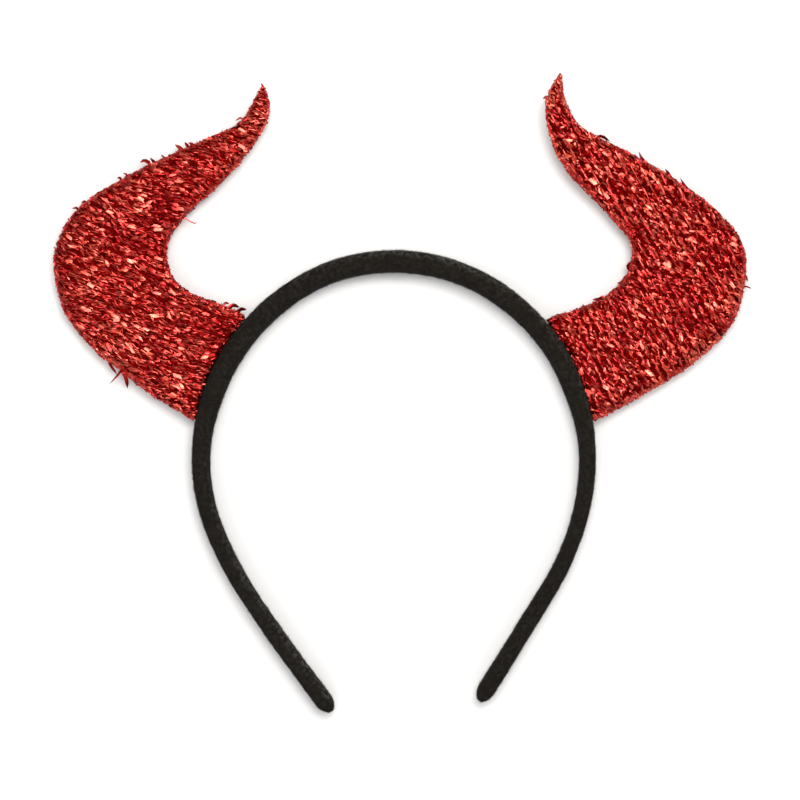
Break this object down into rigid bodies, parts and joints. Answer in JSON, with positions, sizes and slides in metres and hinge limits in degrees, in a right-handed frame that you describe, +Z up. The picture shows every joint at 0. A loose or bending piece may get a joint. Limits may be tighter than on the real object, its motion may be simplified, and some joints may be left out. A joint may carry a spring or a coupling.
{
  "type": "devil horns headband",
  "caption": "Stiff velvet-covered headband lying flat, with flat padded devil horns of red metallic tinsel cloth curling inwards from the sides of its crown.",
  "frame": {"origin": "middle of the plan of the whole headband, on the surface it lies on", "axes": "+Z up from the surface, +Y from the open ends of the band towards the tips of the horns, +X to the viewer's right"},
  "size_m": [0.234, 0.2146, 0.0133],
  "materials": {
    "velvet": "short black velvet pile, matt with a soft sheen at glancing angles",
    "tinsel": "knitted red metal foil strips, shiny and crumpled"
  },
  "bodies": {
    "root": {"headband": "velvet", "left_horn": "tinsel", "right_horn": "tinsel"}
  },
  "joints": []
}
